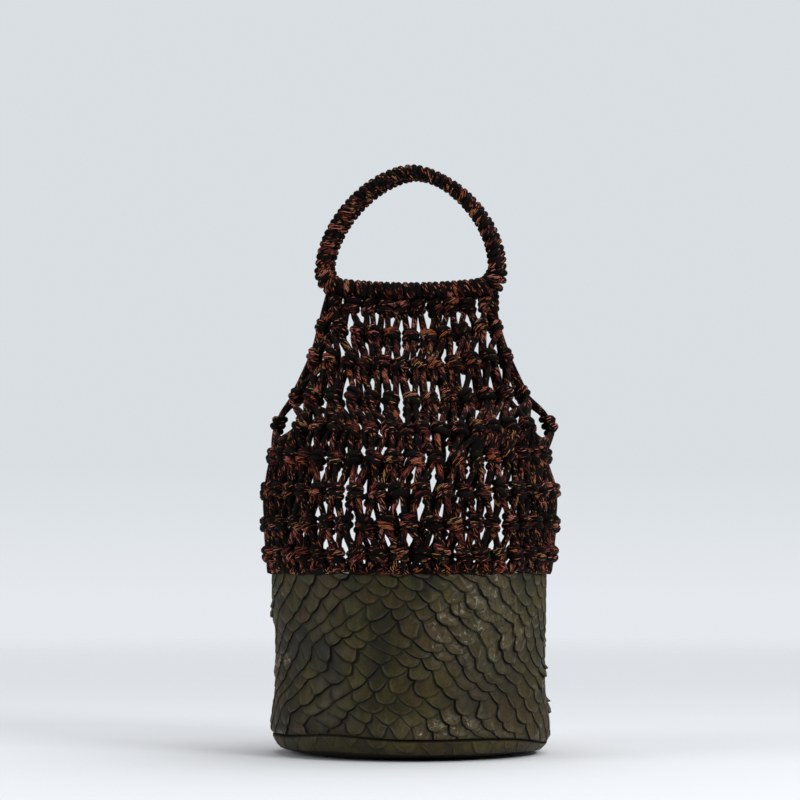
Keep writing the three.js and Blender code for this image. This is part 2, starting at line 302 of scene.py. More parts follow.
def feed(tree, pairs):
    """Links or sets each input socket of a list, as its value is a socket or a plain value."""
    for socket, value in pairs:
        if isinstance(value, bpy.types.NodeSocket):
            tree.links.new(value, socket)
        else:
            socket.default_value = value


def mixed(tree, factor, low, high):
    """Colour mix; factor, low and high are sockets or plain values."""
    made = node(tree, "ShaderNodeMix", data_type="RGBA")
    feed(tree, ((made.inputs[0], factor), (made.inputs[6], low), (made.inputs[7], high)))
    return made.outputs[2]


def calc(tree, operation, first, second=0.0, third=0.0):
    """Math node; its operands are sockets or numbers."""
    made = node(tree, "ShaderNodeMath", operation=operation)
    feed(tree, zip(made.inputs, (first, second, third)))
    return made.outputs[0]


def spread(tree, value, low, high, to_low=0.0, to_high=1.0):
    """The value's range from low to high drawn out to the range from to_low to to_high, and cut there."""
    made = node(tree, "ShaderNodeMapRange", clamp=True)
    feed(tree, zip(made.inputs, (value, low, high, to_low, to_high)))
    return made.outputs[0]


def noise(tree, scale, detail=3.0, stretch=(1, 1, 1), swirl=0.0):
    """Noise on object coordinates; stretch squeezes it along an axis, swirl twists it into folds."""
    coordinates = node(tree, "ShaderNodeTexCoord").outputs["Object"]
    mapping = node(tree, "ShaderNodeMapping", Scale=stretch)
    tree.links.new(coordinates, mapping.inputs["Vector"])
    made = node(tree, "ShaderNodeTexNoise", Scale=scale, Detail=detail, Distortion=swirl)
    tree.links.new(mapping.outputs[0], made.inputs["Vector"])
    return made.outputs["Fac"]


def bump(tree, height_socket, strength, distance, below=None):
    """Relief of a height; a negative distance makes grooves, and below is the relief it lies on."""
    made = node(tree, "ShaderNodeBump", Strength=strength, Distance=distance)
    tree.links.new(height_socket, made.inputs["Height"])
    if below is not None:
        tree.links.new(below, made.inputs["Normal"])
    return made.outputs[0]


def new_material(name):
    material = bpy.data.materials.new(name)
    material.use_nodes = True
    tree = material.node_tree
    return material, tree, tree.nodes["Principled BSDF"]


LEATHER_BLACK = (0.0008, 0.0006, 0.0003, 1)
LEATHER_OLIVE = (0.0215, 0.0185, 0.0030, 1)
LEATHER_KHAKI = (0.075, 0.0600, 0.0090, 1)
LEATHER_RUSSET = (0.058, 0.0300, 0.0090, 1)
# Painted highlight and sheen colour for the scales' lips and the curled scales
LEATHER_PAINTED_SHEEN = (0.115, 0.0920, 0.0480, 1)
# Painted highlight colour for the fold crests on curled scales
LEATHER_CREST_HIGHLIGHT = (0.37, 0.32, 0.23, 1)
LEATHER_SPECULAR = 0.22
EDGE_WAVER = 0.10
LINE_OVER = 0.06
LINE_BENEATH = 0.20
LINE_RANGE = (0.15, 0.65)
SHADE_START = 0.02
SHADE_REACH = 0.55
SHADE_DEPTH = 0.55
ARM_FAINTEST = 0.12
RIGHT_ARM_LEAN = (-0.35, 0.9)
LEFT_ARM_LEAN = (-0.9, 0.45)
UNEVEN_RANGE = (0.35, 0.62, 0.7, 1.2)
LIP_OUTER = (-0.07, -0.04)
LIP_INNER = (-0.20, -0.10)
KHAKI_RANGE = (0.38, 0.62)
# Strength of the painted highlight on the lips, then of the painted sheen on the curled scales
LIP_PAINTED_HIGHLIGHT = 0.30
CURL_PAINTED_SHEEN = 0.50
# Painted highlight lines along the fold crests: their width, strength and breaks
CREST_WIDTH = 0.04
CREST_PAINTED_HIGHLIGHT = 0.5
CREST_BREAKS = (0.42, 0.6)
# Painted shade: how far the creases, the soft shadow under each edge, the seam line and the base's underside
# are mixed to black
CREASE_PAINTED_SHADE = 0.99
CREASE_ROUGHNESS = 0.5
ROUGHNESS_RANGE = (0.3, 0.7, 0.42, 0.58)
CURL_GLOSS = 0.42
LEAST_ROUGHNESS = 0.21
FOLDS_WITHOUT_CURL = 0.03
FOLD_DEPTH = 0.0080
LINE_DEPTH = 0.0009
STREAK_DEPTH = 0.0004
GRAIN_DEPTH = 0.0002

leather_material, tree, shader = new_material("fish_leather")
lattice_parts = node(tree, "ShaderNodeSeparateXYZ")
lattice_value = node(tree, "ShaderNodeAttribute", attribute_name="lattice").outputs["Vector"]
tree.links.new(lattice_value, lattice_parts.inputs[0])
waver = calc(tree, "MULTIPLY_ADD", noise(tree, scale=210, detail=2), EDGE_WAVER, -EDGE_WAVER / 2)
first = calc(tree, "FLOOR", lattice_parts.outputs[0])
second = calc(tree, "FLOOR", lattice_parts.outputs[1])
a = calc(tree, "FRACT", lattice_parts.outputs[0])
b = calc(tree, "FRACT", lattice_parts.outputs[1])
lean = lattice_parts.outputs[2]
roundness = calc(tree, "MULTIPLY_ADD", lean, BULGE_LEAN * SCALE_BULGE, BULGE_BASE * SCALE_BULGE)


def gap_to_scale(along, across, first_step, second_step):
    """Distance to the rounded edge of the scale above on one side, below 0 on that scale itself."""
    other_first = calc(tree, "ADD", first, first_step)
    other_second = calc(tree, "ADD", second, second_step)
    row = calc(tree, "ADD", other_first, other_second)
    column = calc(tree, "SUBTRACT", other_first, other_second)
    column = calc(tree, "FLOORED_MODULO", column, 2 * SCALES_ROUND)
    key = calc(tree, "MULTIPLY_ADD", row, ROW_KEY, calc(tree, "MULTIPLY", column, COLUMN_KEY))
    change = calc(tree, "MULTIPLY_ADD", calc(tree, "SINE", key), BULGE_CHANGE, 1.0)
    bulge = calc(tree, "SINE", calc(tree, "MULTIPLY", calc(tree, "POWER", along, BULGE_SKEW), math.pi))
    bulge = calc(tree, "MULTIPLY", calc(tree, "MULTIPLY", bulge, roundness), change)
    edge = calc(tree, "SUBTRACT", calc(tree, "SUBTRACT", 1.0, across), bulge)
    return calc(tree, "ADD", edge, waver)


def crease_shade_line(gap, strength):
    """Painted shade of one edge: a dark line, crisp on the scale that lies over, fading into a soft painted
    shadow on the one beneath.
    """
    over = calc(tree, "MULTIPLY_ADD", gap, 1 / LINE_OVER, 1.0)
    beneath = calc(tree, "MULTIPLY_ADD", gap, -1 / LINE_BENEATH, 1.0)
    line = spread(tree, calc(tree, "MINIMUM", over, beneath), *LINE_RANGE)
    shade = spread(tree, gap, 0.0, SHADE_REACH, SHADE_DEPTH, 0.0)
    shade = calc(tree, "MINIMUM", spread(tree, gap, -SHADE_START, 0.0), shade)
    return calc(tree, "MULTIPLY", calc(tree, "MAXIMUM", line, shade), strength)


def lip_highlight_line(gap, strength):
    """Painted highlight: a paler band just inside a scale's free edge."""
    band = calc(tree, "MINIMUM", spread(tree, gap, *LIP_INNER), spread(tree, gap, *LIP_OUTER, 1.0, 0.0))
    return calc(tree, "MULTIPLY", band, strength)


# Where the edges lie: each scale's right arm fades to one side of the bag, its left arm to the other
to_left_scale = gap_to_scale(a, b, 0.0, 1.0)
to_right_scale = gap_to_scale(b, a, 1.0, 0.0)
uneven = spread(tree, noise(tree, scale=55, detail=2), *UNEVEN_RANGE)
right_arm = calc(tree, "MULTIPLY", spread(tree, lean, *RIGHT_ARM_LEAN, 1.0, ARM_FAINTEST), uneven)
left_arm = calc(tree, "MULTIPLY", spread(tree, lean, *LEFT_ARM_LEAN, ARM_FAINTEST, 1.0), uneven)
crease = calc(tree, "MAXIMUM", crease_shade_line(to_left_scale, right_arm), crease_shade_line(to_right_scale, left_arm))
lip_highlight = calc(tree, "MAXIMUM", lip_highlight_line(to_left_scale, right_arm), lip_highlight_line(to_right_scale, left_arm))
crease = calc(tree, "MULTIPLY", crease, attribute_value(tree, "shown"))
# The seam field holds the seam's dark line and the painted shade of the base's underside
crease = calc(tree, "MAXIMUM", crease, attribute_value(tree, "seam"))

# Each scale's own tone
under_left = calc(tree, "LESS_THAN", to_left_scale, 0.0)
under_right = calc(tree, "LESS_THAN", to_right_scale, 0.0)
under_right = calc(tree, "MULTIPLY", under_right, calc(tree, "SUBTRACT", 1.0, under_left))
scale_name = node(tree, "ShaderNodeCombineXYZ")
tree.links.new(calc(tree, "ADD", first, under_right), scale_name.inputs[0])
tree.links.new(calc(tree, "ADD", second, under_left), scale_name.inputs[1])
scale_tone = node(tree, "ShaderNodeTexWhiteNoise", noise_dimensions="2D")
tree.links.new(scale_name.outputs[0], scale_tone.inputs["Vector"])
tone = scale_tone.outputs["Value"]

# Colour: olive and khaki in patches, russet and black scales, streaks, painted highlights on the lips, curls
# and fold crests, and painted shade in the creases
streaks = noise(tree, scale=260, detail=3, stretch=(1, 1, 0.25))
grain = noise(tree, scale=900, detail=2)
patches = spread(tree, noise(tree, scale=32, detail=4), *KHAKI_RANGE)
body = mixed(tree, patches, LEATHER_OLIVE, LEATHER_KHAKI)
for field, low, high, at_low, at_high, colour in (
    (tone, 0.6, 1.0, 0.0, 0.55, LEATHER_RUSSET),
    (tone, 0.0, 0.4, 0.35, 0.0, LEATHER_BLACK),
    (noise(tree, scale=17, detail=2), 0.52, 0.7, 0.0, 0.6, LEATHER_RUSSET),
    (streaks, 0.35, 0.65, 0.0, 0.42, LEATHER_BLACK),
    (grain, 0.35, 0.65, 0.0, 0.35, LEATHER_BLACK),
):
    body = mixed(tree, spread(tree, field, low, high, at_low, at_high), body, colour)
curl_value = attribute_value(tree, "curl")
# Painted highlight: a pale band along each scale's free lip
body = mixed(tree, calc(tree, "MULTIPLY", lip_highlight, LIP_PAINTED_HIGHLIGHT), body, LEATHER_PAINTED_SHEEN)
# Painted sheen: curled scales paled as if they caught the light from above
body = mixed(tree, calc(tree, "MULTIPLY", curl_value, CURL_PAINTED_SHEEN), body, LEATHER_PAINTED_SHEEN)
ridges = noise(tree, scale=105, detail=1, stretch=(1, 1, 0.7), swirl=0.6)
ridges = calc(tree, "ABSOLUTE", calc(tree, "SUBTRACT", ridges, 0.5))
# Painted highlight: thin pale lines along the fold crests of curled scales, broken here and there
broken = spread(tree, noise(tree, scale=180, detail=2), *CREST_BREAKS)
crest_highlights = calc(tree, "MULTIPLY", spread(tree, ridges, 0.0, CREST_WIDTH, CREST_PAINTED_HIGHLIGHT, 0.0), curl_value)
body = mixed(tree, calc(tree, "MULTIPLY", crest_highlights, broken), body, LEATHER_CREST_HIGHLIGHT)
# Painted shade: the creases and the soft shadow beneath each overlapping edge go nearly black
body = mixed(tree, calc(tree, "MULTIPLY", crease, CREASE_PAINTED_SHADE), body, LEATHER_BLACK)
tree.links.new(body, shader.inputs["Base Color"])

# Sheen and relief: glossy where it curls, dull in the creases
roughness = spread(tree, noise(tree, scale=70, detail=4), *ROUGHNESS_RANGE)
roughness = calc(tree, "SUBTRACT", roughness, calc(tree, "MULTIPLY", curl_value, CURL_GLOSS))
roughness = calc(tree, "MAXIMUM", roughness, LEAST_ROUGHNESS)
roughness = calc(tree, "ADD", roughness, calc(tree, "MULTIPLY", crease, CREASE_ROUGHNESS))
tree.links.new(calc(tree, "MINIMUM", roughness, 1.0), shader.inputs["Roughness"])
folds = calc(tree, "MULTIPLY", ridges, calc(tree, "ADD", curl_value, FOLDS_WITHOUT_CURL))
surface = bump(tree, folds, strength=1.0, distance=-FOLD_DEPTH)
surface = bump(tree, crease, strength=0.8, distance=-LINE_DEPTH, below=surface)
surface = bump(tree, streaks, strength=0.25, distance=STREAK_DEPTH, below=surface)
surface = bump(tree, grain, strength=0.25, distance=GRAIN_DEPTH, below=surface)
tree.links.new(surface, shader.inputs["Normal"])
shader.inputs["Specular IOR Level"].default_value = LEATHER_SPECULAR
leather_wall.data.materials.append(leather_material)
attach(leather_wall, "root")
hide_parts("leather_wall")

# Leather base.
# A disc of the same skin whose rim is turned up over the bag's bottom edge and sewn to the wall, so a
# narrow smooth strip shows under the seam. It is flat where the bag stands.

BASE_COLUMNS = 420
BASE_PROFILE = [
    (0.0, 0.0),
    (0.020, 0.0),
    (0.040, 0.0),
    (0.058, 0.0),
    (0.068, 0.0),
    (0.0735, 0.0003),
    (0.0780, 0.0010),
    (0.0825, 0.0019),
    (0.0865, 0.0028),
    (0.0898, 0.0036),
    (0.0918, 0.0043),
    (0.0932, 0.0053),
    (0.0945, 0.0069),
    (0.0957, 0.0089),
    (0.0967, 0.0110),
    (0.0973, 0.0126),
    (0.0975, 0.0138),
    (0.0966, 0.0144),
    (0.0955, 0.0144),
    (0.0948, 0.0118),
    (0.0925, 0.0082),
    (0.0890, 0.0060),
    (0.0840, 0.0046),
    (0.060, 0.0026),
    (0.030, 0.0024),
    (0.0, 0.0024),
]
RIM_FROM_RADIUS = 0.088
RIM_BLEND = 0.005
RIM_SCALE_STRETCH = 0.8
RIM_LATTICE_SHIFT = 0.243
RIM_LIFT = 0.3
RIM_CREASE_DEPTH = 0.0003
RIM_WRINKLE_DEPTH = 0.0003
RIM_CREASES_SHOWN = 0.4
RIM_CURL = 0.1
SEAM_FROM_Z = 0.0130
UNDERSIDE_TO_Z = 0.0052
DARK_BLEND = 0.0010
# Painted shade: the underside below the turned-up rim is darkened nearly to black
UNDERSIDE_PAINTED_SHADE = 0.9

base_bm = bmesh.new()
base_points = [base_bm.verts.new((x, 0, z)) for x, z in BASE_PROFILE]
base_edges = [base_bm.edges.new(pair) for pair in zip(base_points, base_points[1:])]
bmesh.ops.spin(
    base_bm,
    geom=base_points + base_edges,
    axis=(0, 0, 1),
    cent=(0, 0, 0),
    steps=BASE_COLUMNS,
    angle=2 * math.pi,
    use_merge=True,
)
bmesh.ops.remove_doubles(base_bm, verts=base_bm.verts, dist=1e-6)
bmesh.ops.recalc_face_normals(base_bm, faces=base_bm.faces)
base_mesh = bpy.data.meshes.new("leather_base_skin")
base_bm.to_mesh(base_mesh)
base_bm.free()
base_points = mesh_points(base_mesh)
reach = np.hypot(base_points[:, 0], base_points[:, 1])
turn = np.arctan2(base_points[:, 0], -base_points[:, 1]) / (2 * np.pi) % 1
height = base_points[:, 2].copy()
skin_height = height * RIM_SCALE_STRETCH + RIM_LATTICE_SHIFT
lift, crease, flare, tip = scale_field(turn, skin_height)
turned_up = np.clip((reach - RIM_FROM_RADIUS) / RIM_BLEND, 0, 1)
wrinkle = RIM_WRINKLE_DEPTH * smooth_noise(turn * 5, height / 0.02, seed=23)
lift = (RIM_LIFT * lift - RIM_CREASE_DEPTH * crease + wrinkle) * turned_up
seam = np.clip((height - SEAM_FROM_Z) / DARK_BLEND, 0, 1)
# Painted shade on the underside, below the visible strip
underside_shade = np.clip((UNDERSIDE_TO_Z - height) / DARK_BLEND, 0, 1)
base_points[:, 2] += seam_rise(turn) * turned_up * height / SEAM_Z
base_points[:, :2] *= (1 + lift * (1 - seam) / np.maximum(reach, 0.01))[:, None]
base_mesh.vertices.foreach_set("co", base_points.ravel())

# The corners of the faces that close the ring count on past a full turn, so the lattice doesn't jump
corners = mesh_corners(base_mesh)
corner_turn = turn[corners]
for face in base_mesh.polygons:
    around = corner_turn[face.loop_start:face.loop_start + face.loop_total]
    around[(around < 0.5) & (around.max() > 0.9)] += 1
base_lattice = np.stack(scale_lattice(corner_turn, skin_height[corners]), axis=1)
shown = RIM_CREASES_SHOWN * turned_up
# The seam's dark line together with the painted shade of the underside, carried in the seam field
seam_line_and_underside_shade = seam + UNDERSIDE_PAINTED_SHADE * underside_shade
set_scale_fields(base_mesh, base_lattice, curl=RIM_CURL * tip, shown=shown, seam=seam_line_and_underside_shade)
base_mesh.shade_smooth()
leather_base = add_object("leather_base_skin", base_mesh)
leather_base.data.materials.append(leather_material)
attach(leather_base, "root")
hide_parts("leather_base")

# Macrame net.
# Mottled braided cord tied in nine rows of knots and hitched through the leather's top edge. Each knot
# takes one cord from each of two knots above it, in the lowest tied row three, so slits open between
# them. Two panels at the top, open at the sides and mirror images of each other, run into one tube.

CORD_RADIUS = 0.0022
KNOT_HALF_WIDTH = 0.0042
KNOT_HALF_DEPTH = 0.0034
KNOT_PITCH = 0.0050
KNOT_CORD_SWELL = 1.16
KNOT_STEPS = 24
KNOT_TURNS = 2
RIGHT_HANDED_SHARE = 0.7
KNOT_LEAST_SIZE = 0.92
KNOT_MOST_SIZE = 1.08
KNOT_TILT_OUT = 0.16
KNOT_TILT_UP = 0.2
PLAY_UP = 0.8
PLAY_OUT = 0.5
LEG_STEPS = 7
LEG_SIDE = 0.0021
LEG_REACH = 0.0015
LEG_PULL = 0.34
LEG_ARCH = 0.0006
PANEL_LEG_SWELL = 0.97
PANEL_SWEEP = 1.2
ROW_ANGLE_STEP = 0.02
NET_ROWS = [
    {"height": 0.3208, "drop": 0.0036, "half_width": 0.0540, "depth": 0.0080, "edge": 0.0075, "knots": 10},
    {"height": 0.3030, "drop": 0.0089, "half_width": 0.0625, "depth": 0.0260, "edge": 0.0130, "knots": 11},
    {"height": 0.2810, "drop": 0.0092, "half_width": 0.0680, "depth": 0.0440, "edge": 0.0180, "knots": 12},
    {"height": 0.2545, "drop": 0.0080, "half_width": 0.0810, "depth": 0.0620, "edge": 0.0160, "knots": 13},
    {"height": 0.2335, "drop": 0.0094, "half_width": 0.0970, "depth": 0.0810, "edge": None, "knots": 14},
    {"height": 0.2105, "drop": 0.0070, "half_width": 0.0972, "depth": 0.0940, "edge": None, "knots": 42},
    {"height": 0.1850, "drop": 0.0029, "half_width": 0.1024, "depth": 0.1020, "edge": None, "knots": 43},
    {"height": 0.1624, "drop": 0.0013, "half_width": 0.1025, "depth": 0.1025, "edge": None, "knots": 43},
    {"height": 0.1408, "drop": 0.0012, "half_width": 0.1010, "depth": 0.1010, "edge": None, "knots": 43},
    {"height": 0.1262, "drop": 0.0, "half_width": 0.0992, "depth": 0.0992, "edge": None, "knots": 43},
]
THIRD_LEG_SIDES = (-0.3, 0.2)
FIRST_RING = 4
FIRST_RING_SHIFT = 0.0028
FIRST_RING_SPREAD = 0.88
EDGE_KNOT_SIZE = 0.80
HEADING_ROW = 9
ROW_TURN = 0.42
PLAY_AT_BOUND_ROWS = 0.0008
PLAY = 0.0013
CURVE_BEVEL = 2
RING_POINTS = 4 + 2 * CURVE_BEVEL
LAY_START_MOST = 50
net_draw = random.Random(41)


def row_point(row, angle):
    """Place on a row at an angle round the bag; 0 is the middle of the front."""
    cosine = math.cos(angle)
    z = row["height"] - row["drop"] * cosine * cosine
    if row["edge"] is None:
        shift = FIRST_RING_SHIFT if row is NET_ROWS[FIRST_RING] else 0
        return Vector((row["half_width"] * math.sin(angle) + shift, -row["depth"] * cosine, z))
    along = math.asin(max(-1, min(1, math.sin(angle)))) / (math.pi / 2)
    x = row["half_width"] * math.sin(along * PANEL_SWEEP) / math.sin(PANEL_SWEEP)
    y = row["edge"] + (row["depth"] - row["edge"]) * abs(cosine)
    return Vector((x, -y if cosine >= 0 else y, z))


def row_frame(index, angle):
    """Directions along a row, up the net and out of it."""
    row = NET_ROWS[index]
    above = NET_ROWS[max(index - 1, 0)]
    below = NET_ROWS[min(index + 1, HEADING_ROW)]
    along = (row_point(row, angle + ROW_ANGLE_STEP) - row_point(row, angle - ROW_ANGLE_STEP)).normalized()
    up = (row_point(above, angle) - row_point(below, angle)).normalized()
    if index in (0, HEADING_ROW):
        up = Vector((0, 0, 1))
    out = along.cross(up).normalized()
    return along, out.cross(along).normalized(), out


def tie_knot(index, angle, play):
    """A knot's middle and its directions, each a little off true as a hand ties it."""
    along, up, out = row_frame(index, angle)
    centre = row_point(NET_ROWS[index], angle)
    centre += along * net_draw.uniform(-play, play) + up * net_draw.uniform(-play, play) * PLAY_UP
    centre += out * net_draw.uniform(-play, play) * PLAY_OUT
    tilt_out = Matrix.Rotation(net_draw.gauss(0, KNOT_TILT_OUT), 3, out)
    tilt = tilt_out @ Matrix.Rotation(net_draw.gauss(0, KNOT_TILT_UP), 3, up)
    return {
        "angle": angle,
        "centre": centre,
        "along": tilt @ along,
        "up": tilt @ up,
        "out": tilt @ out,
        "size": net_draw.uniform(KNOT_LEAST_SIZE, KNOT_MOST_SIZE),
    }


def knot_path(knot):
    """Two turns of cord round the pair, which show as two bands one above the other."""
    size = knot["size"]
    hand = 1 if net_draw.random() < RIGHT_HANDED_SHARE else -1
    path = []
    for step in range(KNOT_STEPS + 1):
        turned = 2 * math.pi * KNOT_TURNS * step / KNOT_STEPS - math.pi / 2
        climb = KNOT_PITCH * (step / KNOT_STEPS * 2 - 1)
        path.append(
            knot["centre"]
            + knot["along"] * (hand * KNOT_HALF_WIDTH * size * math.cos(turned))
            + knot["out"] * (KNOT_HALF_DEPTH * size * math.sin(turned))
            + knot["up"] * climb * size
        )
    return path


def leg_path(upper, lower, side_above, side_below):
    """A single cord from the underside of one knot into the top of the next."""
    start = upper["centre"] + upper["along"] * side_above * LEG_SIDE - upper["up"] * LEG_REACH
    end = lower["centre"] + lower["along"] * side_below * LEG_SIDE + lower["up"] * LEG_REACH
    pull = (start - end).length * LEG_PULL
    away = start - upper["up"] * pull + upper["out"] * LEG_ARCH
    into = end + lower["up"] * pull + lower["out"] * LEG_ARCH
    path = []
    for step in range(LEG_STEPS + 1):
        t = step / LEG_STEPS
        path.append(
            start * (1 - t) ** 3 + away * 3 * t * (1 - t) ** 2 + into * 3 * t * t * (1 - t) + end * t ** 3
        )
    return path


def cord_piece(name, paths, radius, material, draw, swells=()):
    """Cords swept along paths as one mesh; every point keeps its place round and along its cord.
    swells gives, for the first paths, one factor of the thickness or a list with one for each point."""
    curve = bpy.data.curves.new(name, "CURVE")
    curve.dimensions = "3D"
    curve.twist_mode = "MINIMUM"
    curve.bevel_depth = radius
    curve.bevel_resolution = CURVE_BEVEL
    lay = []
    for index, path in enumerate(paths):
        spline = curve.splines.new("POLY")
        spline.points.add(len(path) - 1)
        spline.points.foreach_set("co", [number for point in path for number in (*point, 1)])
        swell = swells[index] if index < len(swells) else 1
        spline.points.foreach_set("radius", swell if isinstance(swell, list) else [swell] * len(path))
        travelled = draw.uniform(0, LAY_START_MOST)
        for step, point in enumerate(path):
            if step:
                travelled += (point - path[step - 1]).length
            for corner in range(RING_POINTS):
                turned = 2 * math.pi * corner / RING_POINTS
                lay.append((math.cos(turned), math.sin(turned), travelled))
    holder = bpy.data.objects.new(name + "_curve", curve)
    mesh = bpy.data.meshes.new_from_object(holder)
    mesh.name = name
    bpy.data.objects.remove(holder)
    mesh.attributes.new("lay", "FLOAT_VECTOR", "POINT").data.foreach_set("vector", np.array(lay).ravel())
    bm = bmesh.new()
    bm.from_mesh(mesh)
    open_edges = [edge for edge in bm.edges if edge.is_boundary]
    bmesh.ops.holes_fill(bm, edges=open_edges, sides=RING_POINTS)
    bmesh.ops.recalc_face_normals(bm, faces=bm.faces)
    bm.to_mesh(mesh)
    bm.free()
    mesh.shade_smooth()
    mesh.materials.clear()
    mesh.materials.append(material)
    piece = add_object(name, mesh)
    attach(piece, "root")
    return piece


YARNS_ROUND = 14
YARN_TWIST = 3400
YARN_KEY = 7.31
YARN_RELIEF = 0.0006
CORD_BLACK = (0.0022, 0.0014, 0.0012, 1)
CORD_BROWN = (0.0075, 0.0040, 0.0032, 1)
CORD_OLIVE = (0.0050, 0.0052, 0.0034, 1)
CORD_WINE = (0.190, 0.036, 0.032, 1)
CORD_RUST = (0.52, 0.130, 0.050, 1)
CORD_SALMON = (0.68, 0.23, 0.17, 1)
CORD_SAND = (0.56, 0.29, 0.12, 1)
CORD_ROUGHNESS = 0.65
CORD_SPECULAR = 0.06
FLECK_FADE = 0.06
CLUSTER_SCALE = 48
CLUSTERING = 0.8

cord_material, tree, shader = new_material("mottled_braid")
lay = node(tree, "ShaderNodeAttribute", attribute_name="lay")
parts = node(tree, "ShaderNodeSeparateXYZ")
tree.links.new(lay.outputs["Vector"], parts.inputs[0])
around = calc(tree, "ARCTAN2", parts.outputs[1], parts.outputs[0])
along = parts.outputs[2]
turned = calc(tree, "MULTIPLY", around, YARNS_ROUND)
climbed = calc(tree, "MULTIPLY", along, YARN_TWIST)
rising = calc(tree, "ADD", turned, climbed)
lean_right = calc(tree, "SINE", rising)
lean_left = calc(tree, "SINE", calc(tree, "SUBTRACT", turned, climbed))
stripes = spread(tree, lean_right, -0.3, 0.5)
yarn = calc(tree, "FLOOR", calc(tree, "DIVIDE", calc(tree, "ADD", rising, math.pi / 2), 2 * math.pi))


def along_noise(scale, shift):
    """Noise that varies along the cord alone, so a whole turn of it takes one colour."""
    made = node(tree, "ShaderNodeTexNoise", noise_dimensions="1D", Scale=scale, Detail=1.0)
    tree.links.new(calc(tree, "ADD", along, shift), made.inputs["W"])
    return made.outputs["Fac"]


def yarn_noise(scale, shift):
    """Noise that varies along each yarn by itself, for short flecks of colour."""
    place = node(tree, "ShaderNodeCombineXYZ")
    tree.links.new(calc(tree, "MULTIPLY_ADD", yarn, YARN_KEY, shift), place.inputs[0])
    tree.links.new(calc(tree, "MULTIPLY", along, scale), place.inputs[1])
    made = node(tree, "ShaderNodeTexNoise", noise_dimensions="2D", Scale=1.0, Detail=1.0)
    tree.links.new(place.outputs[0], made.inputs["Vector"])
    return made.outputs["Fac"]


base = mixed(tree, spread(tree, along_noise(scale=45, shift=3.0), 0.45, 0.6), CORD_BLACK, CORD_BROWN)
base = mixed(tree, spread(tree, along_noise(scale=38, shift=11.0), 0.5, 0.62), base, CORD_OLIVE)
for colour, scale, shift, low in (
    (CORD_WINE, 170, 5.0, 0.645),
    (CORD_RUST, 200, 21.0, 0.708),
    (CORD_SALMON, 215, 34.0, 0.712),
    (CORD_SAND, 210, 47.0, 0.755),
):
    cluster = calc(tree, "MULTIPLY_ADD", along_noise(CLUSTER_SCALE, shift), CLUSTERING, -CLUSTERING / 2)
    amount = calc(tree, "ADD", yarn_noise(scale, shift), cluster)
    amount = spread(tree, amount, low, low + FLECK_FADE)
    base = mixed(tree, calc(tree, "MULTIPLY", amount, stripes), base, colour)
tree.links.new(base, shader.inputs["Base Color"])
shader.inputs["Roughness"].default_value = CORD_ROUGHNESS
shader.inputs["Specular IOR Level"].default_value = CORD_SPECULAR
plait = calc(tree, "MAXIMUM", lean_right, lean_left)
surface = bump(tree, plait, strength=0.7, distance=YARN_RELIEF)
tree.links.new(surface, shader.inputs["Normal"])


def knots_of(index):
    """The knots of one row, from left to right."""
    row = NET_ROWS[index]
    count = row["knots"]
    play = PLAY_AT_BOUND_ROWS if index in (0, HEADING_ROW) else PLAY
    if row["edge"] is not None:
        shares = [2 * k / (count - 1) - 1 for k in range(count)]
        sweeps = [math.asin(share * math.sin(PANEL_SWEEP)) / PANEL_SWEEP for share in shares]
        angles = [math.pi / 2 * sweep for sweep in sweeps]
    elif index == FIRST_RING:
        front = [math.asin(FIRST_RING_SPREAD * ((2 * k + 1) / count - 1)) for k in range(count)]
        angles = [*front, math.pi / 2, *[math.pi + angle for angle in front], math.pi * 3 / 2]
    else:
        first = -math.pi / 2 + math.pi / count * (index % 2 + ROW_TURN)
        angles = [first + 2 * math.pi * k / count for k in range(count)]
    knots = [tie_knot(index, angle, play) for angle in angles]
    if row["edge"] is not None:
        for knot in (knots[0], knots[-1]):
            knot["size"] *= EDGE_KNOT_SIZE
    return knots


def legs_between(upper, lower, loop, tripled=False):
    """Two cords down into each knot, or three, from the nearest knots of the row above on either side."""
    paths = []
    turn = 2 * math.pi
    for knot in lower:
        if loop:
            left = min(upper, key=lambda above: (knot["angle"] - above["angle"] + 1e-6) % turn)
            right = min(upper, key=lambda above: (above["angle"] - knot["angle"] - 1e-6) % turn)
        else:
            behind = [above for above in upper if above["angle"] <= knot["angle"]]
            ahead = [above for above in upper if above["angle"] > knot["angle"]]
            left = behind[-1] if behind else ahead[0]
            right = ahead[0] if ahead else behind[-1]
        paths.append(leg_path(left, knot, side_above=1, side_below=-1))
        paths.append(leg_path(right, knot, side_above=-1, side_below=1))
        if tripled:
            paths.append(leg_path(left, knot, *THIRD_LEG_SIDES))
    return paths


PANEL_CORNER = Vector((0.0580, 0, 0.3285))
EDGE_START_DEPTH = 0.25
EDGE_BOW = Vector((0.0008, 0, 0))
EDGE_OUTSIDE_KNOTS = Vector((0.0012, 0, 0))
EDGE_BEND_STEPS = 5


def edge_cords(panel):
    """A cord down each open edge of a panel, from the bar's end past the edge knots."""
    paths = []
    for side in (-1, 1):
        centres = [row[0 if side < 0 else -1]["centre"] for row in panel[1:]]
        start = Vector((side * PANEL_CORNER.x, centres[0].y * EDGE_START_DEPTH, PANEL_CORNER.z))
        path = [start, start.lerp(centres[0], 0.5) + side * EDGE_BOW]
        path += [centre + side * EDGE_OUTSIDE_KNOTS for centre in centres]
        paths.append(path)
    return paths


COIL_STEPS = 36
COIL_TURN_STEPS = 14
COIL_PITCH = 0.0045
COIL_X = 0.0607
COIL_TOP_Z = 0.3262
COIL_HALF_WIDTH = 0.0020
COIL_HALF_DEPTH = 0.0052


